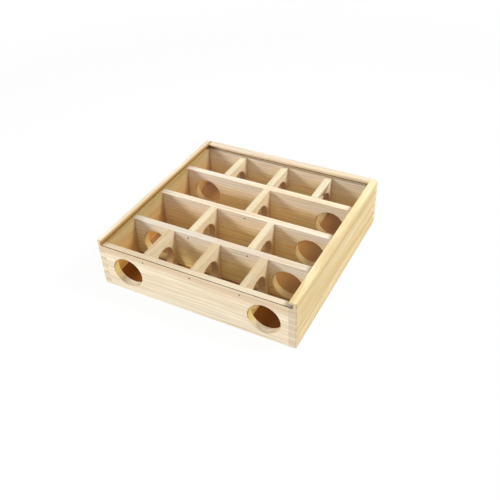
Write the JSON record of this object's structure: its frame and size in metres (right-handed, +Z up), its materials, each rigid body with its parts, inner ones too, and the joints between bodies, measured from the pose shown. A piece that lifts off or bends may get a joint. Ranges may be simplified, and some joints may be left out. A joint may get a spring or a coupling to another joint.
{
  "type": "hamster maze",
  "caption": "Flat square wooden maze box for small pets: finger-jointed walls, dividers with round doorways, round entrances in the front wall and a clear lid that slides out.",
  "frame": {"origin": "middle of the box's footprint, at the walls' lower edge", "axes": "+X to the right along the front wall, +Y from the front wall to the back wall, +Z up"},
  "size_m": [0.25, 0.25, 0.065],
  "materials": {
    "pale_pine": "sanded bare pine",
    "yellow_pine": "sanded bare pine, more yellow",
    "floor_wood": "thin bare board, darker",
    "clear_acrylic": "clear polished sheet",
    "nail_steel": "dull wire nail"
  },
  "bodies": {
    "box": {"front_wall": "pale_pine", "back_wall": "pale_pine", "left_wall": "yellow_pine", "right_wall": "yellow_pine", "floor_panel": "floor_wood", "front_long_divider": "pale_pine", "middle_long_divider": "pale_pine", "rear_long_divider": "pale_pine", "first_row_divider_left": "pale_pine", "first_row_divider_middle": "pale_pine", "first_row_divider_right": "pale_pine", "second_row_divider_left": "pale_pine", "second_row_divider_right": "pale_pine", "third_row_divider": "pale_pine", "fourth_row_divider_left": "pale_pine", "fourth_row_divider_middle": "pale_pine", "fourth_row_divider_right": "pale_pine", "front_wall_nail_left": "nail_steel", "front_wall_nail_middle": "nail_steel", "front_wall_nail_right": "nail_steel", "front_divider_nail_left": "nail_steel", "front_divider_nail_right": "nail_steel", "middle_divider_nail": "nail_steel", "back_wall_nail_left": "nail_steel", "back_wall_nail_middle": "nail_steel", "back_wall_nail_right": "nail_steel"},
    "lid": {"sliding_lid": "clear_acrylic"}
  },
  "joints": [
    {"name": "lid_slide", "type": "slide", "parent": "box", "child": "lid", "axis": [0, -1, 0], "range_m": [0, 0.235]}
  ]
}
